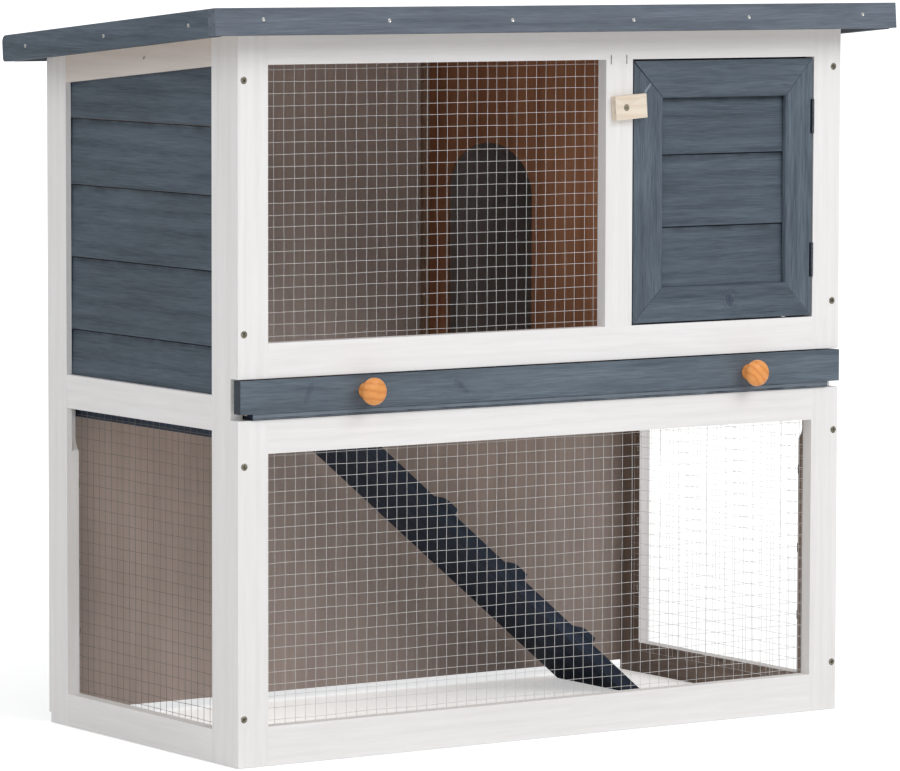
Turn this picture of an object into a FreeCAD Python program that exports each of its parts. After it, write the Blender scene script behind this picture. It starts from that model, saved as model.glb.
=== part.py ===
import FreeCAD, Part
import math
import os

# Rabbit hutch: an upper living level and nest box over an open-bottomed run.
# +Z is up, -Y is the front, and the origin is under the middle of the whole object.
# Every length is in millimetres.

# ---------------------------------------------------------------- driving dimensions
OVERALL_WIDTH = 900.0
OVERALL_DEPTH = 452.0
OVERALL_HEIGHT = 804.0
BODY_WIDTH = 800.0
BODY_DEPTH = 402.0
ROOF_FRONT_OVERHANG = 38.0
ROOF_PITCH_DEG = 4.7
TIMBER = 15.0                 # thickness of every frame member
STILE = 37.5                  # width of posts and stiles
RUNNING_GAP = 0.3             # between parts that slide or turn past each other

# heights
LOWER_BOTTOM_RAIL = 42.0      # top of the front bottom rail
LOWER_OPENING_TOP = 333.0
LOWER_FRAME_TOP = 369.0
UPPER_FRAME_BOTTOM = 413.0
UPPER_OPENING_BOTTOM = 450.0
UPPER_OPENING_TOP = 743.4
SIDE_BOTTOM_RAIL = 36.0
SIDE_MID_RAIL_BOTTOM = 355.5
SIDE_MID_RAIL_TOP = 393.0
SIDE_TOP_RAIL_EDGE = 745.6    # lower edge of the sloping rail, carried forward to the front face
BACK_PANEL_BOTTOM = 11.0

# front layout, from the left edge of the body
DIVIDER_LEFT = 474.5
DIVIDER_RIGHT = 510.5
DOOR_GAP = 2.0
DOOR_HINGE_GAP = 2.5
DOOR_THICKNESS = 13.0
DOOR_LEFT_STILE = 40.3
DOOR_RIGHT_STILE = 36.7
DOOR_TOP_RAIL = 41.4
DOOR_BOTTOM_RAIL = 38.8
DOOR_BOARD_JOINTS = (557.2, 637.4)
DOOR_BOARD_RECESS = 6.0
DOOR_REBATE = 6.0
DOOR_CHAMFER = 2.0
DOOR_SHRINKAGE = 1.6          # the top left mitre has opened a little

# side wall boards
LIP = 6.5                     # frame left in front of the boards
REBATE = 7.0                  # how far the boards run into the frame
WALL_BOARD = 8.0
CUTTER_RADIUS = 20.0          # run-out of the rebate's cutter
RUNOUT_CENTRE = 322.0
BOARD_JOINTS = (444.0, 524.2, 604.4, 677.6)
BOARD_STEP = 2.2              # each board's lower edge stands this far over the next
BOARD_GAP = 0.9
PLAY = 0.4

# inside
MESH_PITCH_ACROSS = 13.0       # squares close to half inch
MESH_PITCH_UP = 12.85
WIRE_RADIUS = 0.3
WIRE_GAP = 0.05
MESH_OVERLAP = 10.5
BACK_SHEET = 4.0
PARTITION_LEFT = 503.0
PARTITION_THICKNESS = 4.0
CORNER_STRIP = 8.0            # square batten behind the partition's rear edge
PARTITION_BOTTOM = 375.0
ARCH_CENTRE = 268.4           # from the front face
ARCH_HALF_WIDTH = 85.0
ARCH_SPRING = 584.0
ARCH_RISE = 58.0
BEARER_HEIGHT = 19.0
BEARER_WIDTH = 20.0
FLOOR_THICKNESS = 5.0
HOLE_LEFT = 268.0
HOLE_LENGTH = 190.0
HOLE_FRONT = 231.0
HOLE_BACK = 381.0

# drawer
DRAWER_LEFT = 0.8
DRAWER_RIGHT = 799.0
DRAWER_BOTTOM = 373.0
DRAWER_TOP = 411.6
DRAWER_PROUD = 3.6
DRAWER_FRONT_THICKNESS = 13.0
TRAY_LEFT = 17.0
TRAY_BACK = 392.0
TRAY_SHEET = 3.0
TRAY_LIP = 3.0               # strip along the sheet's front edge, under the drawer front
TRAY_BATTEN = 10.0
TRAY_BATTEN_HEIGHT = 17.6
TRAY_NOTCH_LEFT = 262.0
TRAY_NOTCH_RIGHT = 464.0
TRAY_NOTCH_FRONT = 224.0
KNOB_PLACES = ((158.0, 394.8), (669.6, 391.7))
KNOB_LENGTH = 25.0
KNOB_RADIUS = 15.0

# ramp
RAMP_ANGLE_DEG = 40.0
RAMP_THICKNESS = 16.0
RAMP_FRONT = 238.0
RAMP_BACK = 373.6
RAMP_FOOT = 700.4             # top edge of the foot, on the ground
RAMP_HEAD = 274.0             # plumb cut at the upper end
RAMP_HINGE = (270.4, 362.4)
RAMP_HINGE_WIDTH = 30.0
RAMP_HINGE_PLACES = (256.0, 326.0)
CLEAT_PLACES = (92.0, 218.0, 344.0)
CLEAT_WIDTH = 34.0
CLEAT_HEIGHT = 8.0

# roof
FASCIA_HEIGHT = 28.4
SIDE_BOARD_HEIGHT = 29.0
FASCIA = 14.0
ROOF_SIDE_BOARD = 15.0
ROOF_BACK_BOARD = 9.0
FELT = 2.0
FELT_SET_DOWN = 0.5
DECK = 9.0
ROOF_BATTEN = 15.0

# hardware
KNUCKLE_RADIUS = 1.5
PIN_RADIUS = 0.8
PIN_CLEARANCE = 0.05
LEAF = 1.0
HINGE_HEIGHT = 38.0
DOOR_HINGE_PLACES = (495.5, 657.4)
BUTTON_CENTRE = (496.5, 690.8)
BUTTON_LEFT = 481.7
BUTTON_RIGHT = 524.3
BUTTON_TILT_DEG = 4.0         # left a little askew
BUTTON_HEIGHT = 26.5
BUTTON_THICKNESS = 8.0
BUTTON_SCREW_HEAD = 3.4
SCREW_HEAD_RADIUS = 4.0
SCREW_SHANK_RADIUS = 2.1
FRAME_SCREWS = ((7.5, 727.5), (7.5, 460.5), (789.8, 732.0), (790.5, 467.0),
                (7.8, 320.5), (7.2, 52.0), (794.0, 320.0), (794.5, 54.0))
ROOF_NAIL_RADIUS = 2.25
ROOF_NAILS_FRONT = ((9.0, 12.3), (166.0, 14.9), (324.0, 15.5), (484.5, 16.7), (642.0, 14.9), (802.0, 13.0))
ROOF_NAILS_SIDE = (18.0, 193.0, 363.0)

# ---------------------------------------------------------------- derived places
LEFT = -BODY_WIDTH / 2
RIGHT = BODY_WIDTH / 2
ROOF_FRONT = -OVERALL_DEPTH / 2
ROOF_BACK = OVERALL_DEPTH / 2
ROOF_LEFT = -OVERALL_WIDTH / 2
ROOF_RIGHT = OVERALL_WIDTH / 2
FRONT = ROOF_FRONT + ROOF_FRONT_OVERHANG
SIDE_FRONT = FRONT + TIMBER
BACK = FRONT + BODY_DEPTH
SIDE_BACK = BACK - BACK_SHEET
INNER_LEFT = LEFT + TIMBER
INNER_RIGHT = RIGHT - TIMBER
PITCH = math.radians(ROOF_PITCH_DEG)
SLOPE = math.tan(PITCH)
DECK_DROP = FELT_SET_DOWN + FELT + DECK
EAVES_Y = ROOF_FRONT + FASCIA_HEIGHT * math.sin(PITCH)     # top front edge of the leaning fascia
ROOF_LENGTH = (ROOF_BACK - EAVES_Y) / math.cos(PITCH)
FLOOR_TOP = LOWER_FRAME_TOP
FLOOR_BOTTOM = FLOOR_TOP - FLOOR_THICKNESS
BEARER_BOTTOM = FLOOR_BOTTOM - BEARER_HEIGHT
MESH_THICKNESS = 4 * WIRE_RADIUS + 2 * WIRE_GAP
DOOR_RIGHT = RIGHT - STILE - DOOR_HINGE_GAP
DOOR_LEFT = LEFT + DIVIDER_RIGHT + DOOR_GAP
DOOR_BOTTOM = UPPER_OPENING_BOTTOM + DOOR_GAP
DOOR_TOP = UPPER_OPENING_TOP - DOOR_GAP
DOOR_HINGE_X = DOOR_RIGHT + DOOR_HINGE_GAP / 2
DOOR_HINGE_Y = FRONT


def vec(x, y, z):
    return FreeCAD.Vector(x, y, z)


def box(x0, x1, y0, y1, z0, z1):
    return Part.makeBox(x1 - x0, y1 - y0, z1 - z0, vec(x0, y0, z0))


def rod(radius, start, direction, length):
    return Part.makeCylinder(radius, length, start, direction)


def prism_x(outline, x0, x1):
    """A solid whose (y, z) outline is carried from x0 to x1."""
    points = [vec(x0, y, z) for y, z in outline]
    face = Part.Face(Part.makePolygon(points + points[:1]))
    return face.extrude(vec(x1 - x0, 0, 0))


def prism_y(outline, y0, y1):
    """A solid whose (x, z) outline is carried from y0 to y1."""
    points = [vec(x, y0, z) for x, z in outline]
    face = Part.Face(Part.makePolygon(points + points[:1]))
    return face.extrude(vec(0, y1 - y0, 0))


def mirror(shape):
    """The same piece on the other side of the middle plane."""
    return shape.mirror(vec(0, 0, 0), vec(1, 0, 0))


def roof_top(y):
    return OVERALL_HEIGHT - SLOPE * (y - EAVES_Y)


def roof_underside(y):
    return roof_top(y) - DECK_DROP / math.cos(PITCH)


def roof_placement():
    """Carries a piece drawn on a level roof (u back from the eaves, v up) onto the slope."""
    return FreeCAD.Placement(vec(0, EAVES_Y, OVERALL_HEIGHT), FreeCAD.Rotation(vec(1, 0, 0), -ROOF_PITCH_DEG))


def side_rail_edge(y):
    return SIDE_TOP_RAIL_EDGE - SLOPE * (y - FRONT)


def sloped_block(x0, x1, y0, y1, bottom, top):
    """A block whose bottom and top heights are functions of y."""
    return prism_x([(y0, bottom(y0)), (y1, bottom(y1)), (y1, top(y1)), (y0, top(y0))], x0, x1)


def level(height):
    return lambda y: height


# ---------------------------------------------------------------- front frames
def both_stiles(bottom, top):
    left = sloped_block(LEFT, LEFT + STILE, FRONT, SIDE_FRONT, bottom, top)
    return Part.makeCompound([left, mirror(left)])


def front_rail(bottom, top):
    return sloped_block(LEFT + STILE, RIGHT - STILE, FRONT, SIDE_FRONT, level(bottom), top)


def divider_stile():
    return box(LEFT + DIVIDER_LEFT, LEFT + DIVIDER_RIGHT, FRONT, SIDE_FRONT,
               UPPER_OPENING_BOTTOM, UPPER_OPENING_TOP)


# ---------------------------------------------------------------- side walls
def rebated_post(edge, inward):
    """A left wall post; edge is the y of its inner edge and inward points into the post."""
    outer = edge + inward * STILE
    front, back = min(edge, outer), max(edge, outer)
    post = sloped_block(LEFT, INNER_LEFT, front, back, level(0.0), roof_underside)
    floor_y = edge + inward * REBATE
    centre_y = floor_y - inward * CUTTER_RADIUS
    rebate = box(LEFT + LIP, INNER_LEFT, min(edge, floor_y), max(edge, floor_y),
                 RUNOUT_CENTRE, side_rail_edge(edge) + REBATE)
    cutter = rod(CUTTER_RADIUS, vec(LEFT + LIP, centre_y, RUNOUT_CENTRE), vec(1, 0, 0), TIMBER - LIP)
    return post.cut(rebate.fuse(cutter))


def side_top_rail(front, back):
    rail = sloped_block(LEFT, INNER_LEFT, front, back, side_rail_edge, roof_underside)
    rebate = sloped_block(LEFT + LIP, INNER_LEFT, front, back, side_rail_edge,
                          lambda y: side_rail_edge(y) + REBATE)
    return rail.cut(rebate)


def side_mid_rail(front, back):
    rail = box(LEFT, INNER_LEFT, front, back, SIDE_MID_RAIL_BOTTOM, SIDE_MID_RAIL_TOP)
    rebate = box(LEFT + LIP, INNER_LEFT, front, back, SIDE_MID_RAIL_TOP - REBATE, SIDE_MID_RAIL_TOP)
    return rail.cut(rebate)


def side_boards(front, back):
    """Five boards; each one's outer face leans out to a step over the board below."""
    inner = LEFT + LIP + WALL_BOARD
    lean_in = LEFT + LIP + BOARD_STEP
    lean_out = LEFT + LIP + 0.1
    start, end = front - REBATE + PLAY, back + REBATE - PLAY
    bottoms = (SIDE_MID_RAIL_TOP - REBATE + PLAY,) + BOARD_JOINTS
    tops = BOARD_JOINTS + (None,)
    boards = []
    for bottom, top in zip(bottoms, tops):
        if top is None:
            high = side_rail_edge(front) + REBATE
            blank = [(lean_out, bottom), (inner, bottom), (inner, high), (lean_in, high)]
            cover = sloped_block(LEFT, INNER_LEFT, start, end,
                                 lambda y: side_rail_edge(y) + REBATE - PLAY, level(high + 1.0))
            boards.append(prism_y(blank, start, end).cut(cover))
        else:
            high = top - BOARD_GAP
            blank = [(lean_out, bottom), (inner, bottom), (inner, high), (lean_in, high)]
            boards.append(prism_y(blank, start, end))
    return Part.makeCompound(boards)


def left_wall():
    front = SIDE_FRONT + STILE
    back = SIDE_BACK - STILE
    return {
        "front_post": rebated_post(front, -1),
        "back_post": rebated_post(back, 1),
        "top_rail": side_top_rail(front, back),
        "mid_rail": side_mid_rail(front, back),
        "bottom_rail": box(LEFT, INNER_LEFT, front, back, 0.0, SIDE_BOTTOM_RAIL),
        "wall_boards": side_boards(front, back),
    }


# ---------------------------------------------------------------- welded mesh
def wire_places(low, high, pitch):
    """Even places one mesh pitch apart, centred between two limits."""
    count = int((high - low) / pitch)
    first = (low + high - count * pitch) / 2
    return [first + i * pitch for i in range(count + 1)]


def mesh_layers(face):
    """The centres of the two layers of wires, inward from a frame's inner face."""
    near = face + WIRE_RADIUS + WIRE_GAP
    return near, near + 2 * WIRE_RADIUS + WIRE_GAP


def front_mesh(x0, x1, z0, z1):
    near, far = mesh_layers(SIDE_FRONT)
    across = [rod(WIRE_RADIUS, vec(x0, near, z), vec(1, 0, 0), x1 - x0)
              for z in wire_places(z0, z1, MESH_PITCH_UP)]
    up = [rod(WIRE_RADIUS, vec(x, far, z0), vec(0, 0, 1), z1 - z0)
          for x in wire_places(x0, x1, MESH_PITCH_ACROSS)]
    return Part.makeCompound(across + up)


def left_mesh(y0, y1, z0, z1):
    near, far = mesh_layers(INNER_LEFT)
    along = [rod(WIRE_RADIUS, vec(near, y0, z), vec(0, 1, 0), y1 - y0)
             for z in wire_places(z0, z1, MESH_PITCH_UP)]
    up = [rod(WIRE_RADIUS, vec(far, y, z0), vec(0, 0, 1), z1 - z0)
          for y in wire_places(y0, y1, MESH_PITCH_ACROSS)]
    return Part.makeCompound(along + up)


# ---------------------------------------------------------------- inside
def back_panel():
    return sloped_block(LEFT, RIGHT, SIDE_BACK, BACK, level(BACK_PANEL_BOTTOM), roof_underside)


def partition():
    x0 = LEFT + PARTITION_LEFT
    x1 = x0 + PARTITION_THICKNESS
    front, back = SIDE_FRONT + MESH_THICKNESS + 0.2, SIDE_BACK - 0.2
    panel = sloped_block(x0, x1, front, back, level(PARTITION_BOTTOM), roof_underside)
    centre = FRONT + ARCH_CENTRE
    y0, y1 = centre - ARCH_HALF_WIDTH, centre + ARCH_HALF_WIDTH
    crown = ARCH_SPRING + ARCH_RISE
    a, b, c, d = [vec(x0, y, z) for y, z in
                  ((y0, 0.0), (y0, ARCH_SPRING), (y1, ARCH_SPRING), (y1, 0.0))]
    ellipse = Part.Ellipse(c, vec(x0, centre, crown), vec(x0, centre, ARCH_SPRING))
    head = Part.Face(Part.Wire([ellipse.toShape()])).extrude(vec(x1 - x0, 0, 0))
    legs = Part.Face(Part.makePolygon([a, b, c, d, a])).extrude(vec(x1 - x0, 0, 0))
    return panel.cut(head.fuse(legs).removeSplitter())


def corner_strip():
    """The square batten in the corner between the partition and the back panel, on the living side."""
    x1 = LEFT + PARTITION_LEFT
    back = SIDE_BACK - 0.2
    return sloped_block(x1 - CORNER_STRIP, x1, back - CORNER_STRIP, back, level(PARTITION_BOTTOM), roof_underside)


def floor_panel():
    panel = box(INNER_LEFT + 0.2, INNER_RIGHT - 0.2, SIDE_FRONT + 0.2, SIDE_BACK - 0.2, FLOOR_BOTTOM, FLOOR_TOP)
    hole = box(LEFT + HOLE_LEFT, LEFT + HOLE_LEFT + HOLE_LENGTH, FRONT + HOLE_FRONT,
               FRONT + HOLE_BACK, FLOOR_BOTTOM, FLOOR_TOP)
    return panel.cut(hole)


def floor_bearers():
    """Two side battens and one along the back, clear of each other and of the mesh."""
    x0 = INNER_LEFT + MESH_THICKNESS
    x1 = x0 + BEARER_WIDTH
    left = box(x0, x1, SIDE_FRONT + MESH_THICKNESS, SIDE_BACK - 0.2, BEARER_BOTTOM, FLOOR_BOTTOM)
    rear = box(x1 + 1.0, -x1 - 1.0, SIDE_BACK - TIMBER, SIDE_BACK - 0.2, BEARER_BOTTOM, FLOOR_BOTTOM)
    return Part.makeCompound([left, mirror(left), rear])


def ramp_bearer():
    x1 = LEFT + HOLE_LEFT
    return box(x1 - BEARER_WIDTH, x1, FRONT + HOLE_FRONT, FRONT + HOLE_BACK, BEARER_BOTTOM, FLOOR_BOTTOM)


# ---------------------------------------------------------------- roof
def roof_layer(low, high):
    return box(ROOF_LEFT + ROOF_SIDE_BOARD, ROOF_RIGHT - ROOF_SIDE_BOARD,
                      FASCIA, ROOF_LENGTH - ROOF_BACK_BOARD, low, high)


def roof_left_board():
    """The edge board, with its two rear corners rounded."""
    board = box(ROOF_LEFT, ROOF_LEFT + ROOF_SIDE_BOARD, FASCIA, ROOF_LENGTH, -SIDE_BOARD_HEIGHT, 0.0)
    rear = [e for e in board.Edges if e.BoundBox.YMin > ROOF_LENGTH - 1.0 and e.BoundBox.ZLength < 1.0]
    upper = [e for e in rear if e.BoundBox.ZMin > -1.0]
    board = board.makeFillet(8.0, upper)
    lower = [e for e in board.Edges if e.BoundBox.YMin > ROOF_LENGTH - 1.0
             and e.BoundBox.ZMax < 1.0 - SIDE_BOARD_HEIGHT]
    return board.makeFillet(4.0, lower)


def roof_pieces():
    """The whole roof, drawn level and then tipped onto its slope."""
    batten_left = INNER_LEFT + 1.0
    batten = box(batten_left, batten_left + BEARER_WIDTH, ROOF_FRONT_OVERHANG + TIMBER + 1.0,
                        ROOF_LENGTH - 20.0, -DECK_DROP - ROOF_BATTEN, -DECK_DROP)
    pieces = {
        "roof_deck": roof_layer(-DECK_DROP, -DECK_DROP + DECK),
        "roof_felt": roof_layer(-FELT_SET_DOWN - FELT, -FELT_SET_DOWN),
        "roof_front_board": box(ROOF_LEFT, ROOF_RIGHT, 0.0, FASCIA, -FASCIA_HEIGHT, 0.0),
        "roof_left_board": roof_left_board(),
        "roof_right_board": mirror(roof_left_board()),
        "roof_back_board": box(ROOF_LEFT + ROOF_SIDE_BOARD, ROOF_RIGHT - ROOF_SIDE_BOARD,
                                      ROOF_LENGTH - ROOF_BACK_BOARD, ROOF_LENGTH, -SIDE_BOARD_HEIGHT, 0.0),
        "roof_battens": Part.makeCompound([batten, mirror(batten)]),
        "roof_edge_nails": roof_edge_nails(),
    }
    for piece in pieces.values():
        piece.Placement = roof_placement()
    batten_nail = roof_nail(LEFT, FRONT + 191.0, 747.0, vec(1, 0, 0))
    pieces["roof_edge_nails"] = Part.makeCompound([pieces["roof_edge_nails"], batten_nail, mirror(batten_nail)])
    return pieces


# ---------------------------------------------------------------- door
def door_outlines():
    """The four mitred members, as (x, z) outlines from outer to inner corners."""
    x0, x1, z0, z1 = DOOR_LEFT, DOOR_RIGHT, DOOR_BOTTOM, DOOR_TOP
    u0, u1 = x0 + DOOR_LEFT_STILE, x1 - DOOR_RIGHT_STILE
    w0, w1 = z0 + DOOR_BOTTOM_RAIL, z1 - DOOR_TOP_RAIL
    return {
        "door_left_stile": [(x0, z0), (u0, w0), (u0, w1), (x0, z1 - DOOR_SHRINKAGE)],
        "door_right_stile": [(x1, z0), (x1, z1), (u1, w1), (u1, w0)],
        "door_top_rail": [(x0, z1), (u0, w1), (u1, w1), (x1, z1)],
        "door_bottom_rail": [(x0, z0), (x1, z0), (u1, w0), (u0, w0)],
    }


def door_opening():
    """The inner edges of the door's frame: x0, x1, z0, z1."""
    return (DOOR_LEFT + DOOR_LEFT_STILE, DOOR_RIGHT - DOOR_RIGHT_STILE,
            DOOR_BOTTOM + DOOR_BOTTOM_RAIL, DOOR_TOP - DOOR_TOP_RAIL)


def rectangle_wire(x0, x1, z0, z1, grow, y):
    corners = [vec(x0 - grow, y, z0 - grow), vec(x1 + grow, y, z0 - grow),
               vec(x1 + grow, y, z1 + grow), vec(x0 - grow, y, z1 + grow)]
    return Part.makePolygon(corners + corners[:1])


def door_member(outline):
    """One mitred member, bevelled at the front and rebated at the back for the boards."""
    member = prism_y(outline, FRONT, FRONT + DOOR_THICKNESS)
    x0, x1, z0, z1 = door_opening()
    bevel = Part.makeLoft([rectangle_wire(x0, x1, z0, z1, DOOR_CHAMFER, FRONT),
                           rectangle_wire(x0, x1, z0, z1, 0.0, FRONT + DOOR_CHAMFER)], True)
    rebate = box(x0 - DOOR_REBATE, x1 + DOOR_REBATE, FRONT + DOOR_BOARD_RECESS, FRONT + DOOR_THICKNESS,
                 z0 - DOOR_REBATE, z1 + DOOR_REBATE)
    return member.cut(bevel).cut(rebate)


def door_boards():
    x0, x1, z0, z1 = door_opening()
    inside = DOOR_REBATE - 0.2
    edges = (z0 - inside,) + DOOR_BOARD_JOINTS + (z1 + inside,)
    near = FRONT + DOOR_BOARD_RECESS + 0.1
    far = FRONT + DOOR_THICKNESS
    boards = []
    for bottom, top in zip(edges, edges[1:]):
        high = top if top == edges[-1] else top - BOARD_GAP
        outline = [(near, bottom), (far, bottom), (far, high), (near + BOARD_STEP, high)]
        boards.append(prism_x(outline, x0 - inside, x1 + inside))
    return Part.makeCompound(boards)


# ---------------------------------------------------------------- hinges
def butt_hinge(centre, axis, width, fixed_leaf, moving_leaf):
    """A three-knuckle butt hinge: fixed part with the outer knuckles, moving part with the middle one."""
    third = width / 3
    reach = KNUCKLE_RADIUS + 0.3

    def length(radius, low, high):
        return rod(radius, centre + axis * low, axis, high - low)

    middle_gap = length(reach, third - 0.2, 2 * third + 0.2)
    end_gaps = [length(reach, -1.0, third + 0.2), length(reach, 2 * third - 0.2, width + 1.0)]
    hole = length(PIN_RADIUS + PIN_CLEARANCE, -1.0, width + 1.0)
    ends = [length(KNUCKLE_RADIUS, 0.0, third - 0.2), length(KNUCKLE_RADIUS, 2 * third + 0.2, width)]
    middle = length(KNUCKLE_RADIUS, third, 2 * third)
    fixed = fixed_leaf.cut(middle_gap).multiFuse(ends).cut(hole).removeSplitter()
    moving = moving_leaf.cut(Part.makeCompound(end_gaps)).fuse(middle).cut(hole).removeSplitter()
    pin = length(PIN_RADIUS, 0.0, width)
    return fixed, moving, pin


def door_hinge(z):
    top = z + HINGE_HEIGHT
    edge = RIGHT - STILE - 0.1
    fixed_leaf = box(edge - LEAF, edge, DOOR_HINGE_Y, FRONT + 12.0, z, top)
    door_leaf = box(DOOR_RIGHT + 0.1, DOOR_RIGHT + 0.1 + LEAF, DOOR_HINGE_Y, FRONT + 12.0, z, top)
    return butt_hinge(vec(DOOR_HINGE_X, DOOR_HINGE_Y, z), vec(0, 0, 1), HINGE_HEIGHT, fixed_leaf, door_leaf)


def hinge_mortises():
    """The pockets that the door hinges' knuckles sit in, in the door's edge and the stile beside it."""
    x0, x1 = DOOR_HINGE_X - 4.0, DOOR_HINGE_X + KNUCKLE_RADIUS + 0.2
    y0, y1 = DOOR_HINGE_Y - 1.0, DOOR_HINGE_Y + 2.6
    return Part.makeCompound([box(x0, x1, y0, y1, z - 0.5, z + HINGE_HEIGHT + 0.5) for z in DOOR_HINGE_PLACES])


def ramp_point(s, n, y):
    """A point on the ramp: s up the slope from the foot's top edge, n out of the top face."""
    tilt = math.radians(RAMP_ANGLE_DEG)
    return vec(LEFT + RAMP_FOOT - s * math.cos(tilt) + n * math.sin(tilt), y,
               s * math.sin(tilt) + n * math.cos(tilt))


def ramp_hinge(y):
    """The fixed leaf hangs on the bearer's face; the moving leaf lies on the ramp."""
    x, z = LEFT + RAMP_HINGE[0], RAMP_HINGE[1]
    bearer = LEFT + HOLE_LEFT + 0.1
    fixed_leaf = box(bearer, bearer + LEAF, y, y + RAMP_HINGE_WIDTH, z - 17.0, z)
    head = (RAMP_FOOT - RAMP_HINGE[0]) / math.cos(math.radians(RAMP_ANGLE_DEG))
    corners = [ramp_point(s, n, y) for s, n in
               ((head - 26.0, 0.1), (head, 0.1), (head, 0.1 + LEAF), (head - 26.0, 0.1 + LEAF))]
    moving_leaf = Part.Face(Part.makePolygon(corners + corners[:1])).extrude(vec(0, RAMP_HINGE_WIDTH, 0))
    return butt_hinge(vec(x, y, z), vec(0, 1, 0), RAMP_HINGE_WIDTH, fixed_leaf, moving_leaf)


# ---------------------------------------------------------------- ramp
def ramp_board():
    """A plank whose foot is cut level with the ground and whose head is cut plumb."""
    tilt = math.tan(math.radians(RAMP_ANGLE_DEG))
    drop = RAMP_THICKNESS / math.cos(math.radians(RAMP_ANGLE_DEG))
    rise = (RAMP_FOOT - RAMP_HEAD) * tilt
    outline = [(LEFT + RAMP_FOOT, 0.0), (LEFT + RAMP_HEAD, rise), (LEFT + RAMP_HEAD, rise - drop),
               (LEFT + RAMP_FOOT - drop / tilt, 0.0)]
    return prism_y(outline, FRONT + RAMP_FRONT, FRONT + RAMP_BACK)


def ramp_cleats():
    """Quarter-round strips: steep on the downhill side, rounded uphill."""
    y0, y1 = FRONT + RAMP_FRONT, FRONT + RAMP_BACK
    cleats = []
    for place in CLEAT_PLACES:
        foot = ramp_point(place, 0.0, y0)
        lip = ramp_point(place + 1.0, CLEAT_HEIGHT, y0)
        brow = ramp_point(place + 0.5 * CLEAT_WIDTH, CLEAT_HEIGHT, y0)
        shoulder = ramp_point(place + 0.82 * CLEAT_WIDTH, 0.62 * CLEAT_HEIGHT, y0)
        head = ramp_point(place + CLEAT_WIDTH, 0.0, y0)
        edges = [Part.makeLine(head, foot), Part.makeLine(foot, lip), Part.makeLine(lip, brow),
                 Part.Arc(brow, shoulder, head).toShape()]
        cleats.append(Part.Face(Part.Wire(edges)).extrude(vec(0, y1 - y0, 0)))
    return Part.makeCompound(cleats)


# ---------------------------------------------------------------- drawer
def drawer_front():
    y0 = FRONT - DRAWER_PROUD
    return box(LEFT + DRAWER_LEFT, LEFT + DRAWER_RIGHT, y0, y0 + DRAWER_FRONT_THICKNESS,
               DRAWER_BOTTOM + TRAY_LIP, DRAWER_TOP)


def tray_bottom():
    x0 = LEFT + TRAY_LEFT
    top = DRAWER_BOTTOM - 0.1
    sheet = box(x0, -x0, FRONT - 2.5, FRONT + TRAY_BACK, top - TRAY_SHEET, top)
    notch = box(LEFT + TRAY_NOTCH_LEFT, LEFT + TRAY_NOTCH_RIGHT, FRONT + TRAY_NOTCH_FRONT,
                FRONT + TRAY_BACK, top - TRAY_SHEET, top)
    lip = box(x0, -x0, FRONT - 2.5, FRONT - DRAWER_PROUD + DRAWER_FRONT_THICKNESS, top, top + TRAY_LIP)
    return sheet.cut(notch).fuse(lip).removeSplitter()


def tray_battens():
    x0 = LEFT + TRAY_LEFT
    left = box(x0, x0 + TRAY_BATTEN, FRONT - DRAWER_PROUD + DRAWER_FRONT_THICKNESS + 0.2, FRONT + TRAY_BACK,
               DRAWER_BOTTOM, DRAWER_BOTTOM + TRAY_BATTEN_HEIGHT)
    return Part.makeCompound([left, mirror(left)])


def drawer_knob(x, z):
    """A turned wooden knob: narrow foot, waist, round head with a flattened face."""
    base_y = FRONT - DRAWER_PROUD
    r, length = KNOB_RADIUS - 0.2, KNOB_LENGTH

    def at(radius, height):
        return vec(radius * r, 0, height * length)

    edges = [Part.makeLine(at(0, 0), at(0.6, 0)), Part.Arc(at(0.6, 0), at(0.48, 0.13), at(0.5, 0.24)).toShape(),
             Part.Arc(at(0.5, 0.24), at(0.66, 0.36), at(0.96, 0.5)).toShape(),
             Part.Arc(at(0.96, 0.5), at(1, 0.7), at(0.8, 0.9)).toShape(),
             Part.Arc(at(0.8, 0.9), at(0.62, 0.96), at(0.35, 1)).toShape(),
             Part.makeLine(at(0.35, 1), at(0, 1)), Part.makeLine(at(0, 1), at(0, 0))]
    knob = Part.Face(Part.Wire(edges)).revolve(vec(0, 0, 0), vec(0, 0, 1), 360)
    turn = FreeCAD.Rotation(vec(1, 0, 0), 90)
    knob.Placement = FreeCAD.Placement(vec(LEFT + x, base_y, z), turn)
    return knob


def knob_screw(x, z):
    inner = FRONT - DRAWER_PROUD + DRAWER_FRONT_THICKNESS
    head = rod(3.5, vec(LEFT + x, inner, z), vec(0, 1, 0), 1.5)
    shank = rod(2.0, vec(LEFT + x, inner - 24.0, z), vec(0, 1, 0), 24.0)
    return head.fuse(shank)


# ---------------------------------------------------------------- turn button
def turn_button():
    x, z = LEFT + BUTTON_CENTRE[0], BUTTON_CENTRE[1]
    y0 = FRONT - RUNNING_GAP - BUTTON_THICKNESS
    block = box(LEFT + BUTTON_LEFT, LEFT + BUTTON_RIGHT, y0, y0 + BUTTON_THICKNESS,
                z - BUTTON_HEIGHT / 2, z + BUTTON_HEIGHT / 2)
    block.rotate(vec(x, y0, z), vec(0, -1, 0), BUTTON_TILT_DEG)
    shank_hole = rod(SCREW_SHANK_RADIUS + PIN_CLEARANCE, vec(x, y0, z), vec(0, 1, 0), BUTTON_THICKNESS)
    head_seat = rod(BUTTON_SCREW_HEAD + 0.2, vec(x, y0, z), vec(0, 1, 0), 2.6)
    return block.cut(shank_hole.fuse(head_seat))


def turn_button_screw():
    x, z = LEFT + BUTTON_CENTRE[0], BUTTON_CENTRE[1]
    y0 = FRONT - RUNNING_GAP - BUTTON_THICKNESS
    head = rod(BUTTON_SCREW_HEAD, vec(x, y0 + 0.3, z), vec(0, 1, 0), 2.1)
    shank = rod(SCREW_SHANK_RADIUS, vec(x, y0 + 1.0, z), vec(0, 1, 0), BUTTON_THICKNESS + TIMBER - 4.0)
    return head.fuse(shank)


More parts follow.
